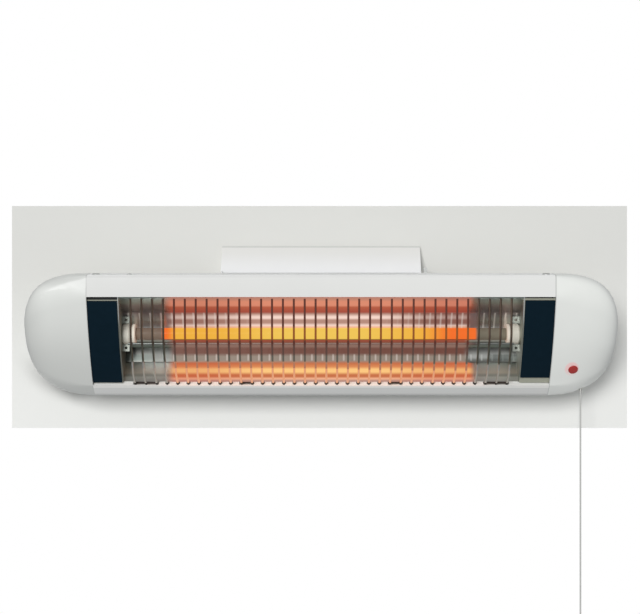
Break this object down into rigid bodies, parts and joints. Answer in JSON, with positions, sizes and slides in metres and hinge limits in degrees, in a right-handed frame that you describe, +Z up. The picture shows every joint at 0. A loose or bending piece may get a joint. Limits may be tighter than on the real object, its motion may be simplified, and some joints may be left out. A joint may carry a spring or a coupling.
{
  "type": "electric bar heater",
  "caption": "Wall-mounted electric bar heater: a quartz tube in a folded reflector behind a wire guard, moulded end caps, a tilting wall bracket and a pull-cord switch.",
  "frame": {"origin": "middle of the wall bracket's back face, on the wall", "axes": "+X along the heater to the end with the pull cord, +Y into the wall, +Z up"},
  "size_m": [0.5708, 0.1, 0.4514],
  "materials": {
    "casing_paint": "smooth satin white powder coat",
    "bracket_paint": "smooth satin white powder coat",
    "cap_plastic": "smooth satin white moulding",
    "frame_steel": "bare pressed zinc-plated steel",
    "reflector_aluminium": "bright rolled aluminium, with fine lengthwise lines",
    "dark_panel": "smooth satin blue-black paint",
    "guard_wire": "bright plated wire",
    "quartz": "clear fused quartz, faintly smoked by heat",
    "coil": "glowing resistance wire",
    "ceramic": "matt cream steatite",
    "clip_steel": "spring steel",
    "screw_steel": "zinc-plated screw",
    "hinge_steel": "zinc-plated pin and nut",
    "washer_fibre": "pale nylon washer",
    "knob_plastic": "fine-grained white moulding",
    "grommet_rubber": "black rubber",
    "lens_red": "translucent dark red lens",
    "lamp_body": "pale lamp body with two pins",
    "terminal_plastic": "cream terminal block",
    "cutout_case": "brown-black phenolic disc",
    "wire_sleeve": "glass-sleeved wire",
    "switch_plastic": "cream switch housing",
    "spring_steel": "bright spring wire",
    "bush_plastic": "white nylon bush",
    "plunger_plastic": "cream nylon plunger",
    "brass": "turned brass",
    "cord_fabric": "fine braided white cord",
    "cord_knob_plastic": "smooth white moulding"
  },
  "bodies": {
    "wall_bracket": {"wall_bracket": "bracket_paint", "tilt_washers": "washer_fibre", "lock_nut": "hinge_steel"},
    "lock_knob": {"lock_knob": "knob_plastic"},
    "switch_plunger": {"switch_plunger": "plunger_plastic"},
    "pull_cord": {"cord_ball": "brass", "pull_cord": "cord_fabric", "cord_knob": "cord_knob_plastic"},
    "heater": {"top_casing": "casing_paint", "rear_panel": "casing_paint", "bottom_rail": "casing_paint", "left_end_frame": "frame_steel", "right_end_frame": "frame_steel", "left_end_cap": "cap_plastic", "right_end_cap": "cap_plastic", "tilt_ears": "bracket_paint", "pivot_pin": "hinge_steel", "reflector": "reflector_aluminium", "left_reflector_end": "reflector_aluminium", "right_reflector_end": "reflector_aluminium", "left_dark_panel": "dark_panel", "right_dark_panel": "dark_panel", "wire_guard": "guard_wire", "cross_rod": "guard_wire", "quartz_tube": "quartz", "heating_coil": "coil", "left_tube_holder": "ceramic", "right_tube_holder": "ceramic", "holder_clips": "clip_steel", "casing_screws": "screw_steel", "rear_screws": "screw_steel", "cap_screws": "screw_steel", "cable_grommet": "grommet_rubber", "indicator_lens": "lens_red", "indicator_lamp": "lamp_body", "terminal_block": "terminal_plastic", "thermal_cutout": "cutout_case", "internal_wiring": "wire_sleeve", "pull_switch": "switch_plastic", "switch_bracket": "frame_steel", "return_spring": "spring_steel", "cord_bush": "bush_plastic"}
  },
  "joints": [
    {"name": "body_tilt", "type": "hinge", "parent": "wall_bracket", "child": "heater", "pos_m": [0, -0.02, 0.003], "axis": [1, 0, 0], "range_deg": [-20, 12]},
    {"name": "knob_turn", "type": "hinge", "parent": "wall_bracket", "child": "lock_knob", "pos_m": [0.1018, -0.02, 0.003], "axis": [1, 0, 0], "range_deg": [0, 180]},
    {"name": "cord_pull", "type": "slide", "parent": "heater", "child": "switch_plunger", "axis": [0, 0, -1], "range_m": [0, 0.008], "stiffness_N_per_m": 800, "springref_m": -0.003, "deforming": ["return_spring"]},
    {"name": "cord_swing", "type": "hinge", "parent": "switch_plunger", "child": "pull_cord", "pos_m": [0.254, -0.042, -0.105], "axis": [1, 0, 0], "range_deg": [-12, 20]}
  ],
  "couplings": [
    {"joint": "cord_swing", "follows": "body_tilt", "ratio": -1}
  ]
}
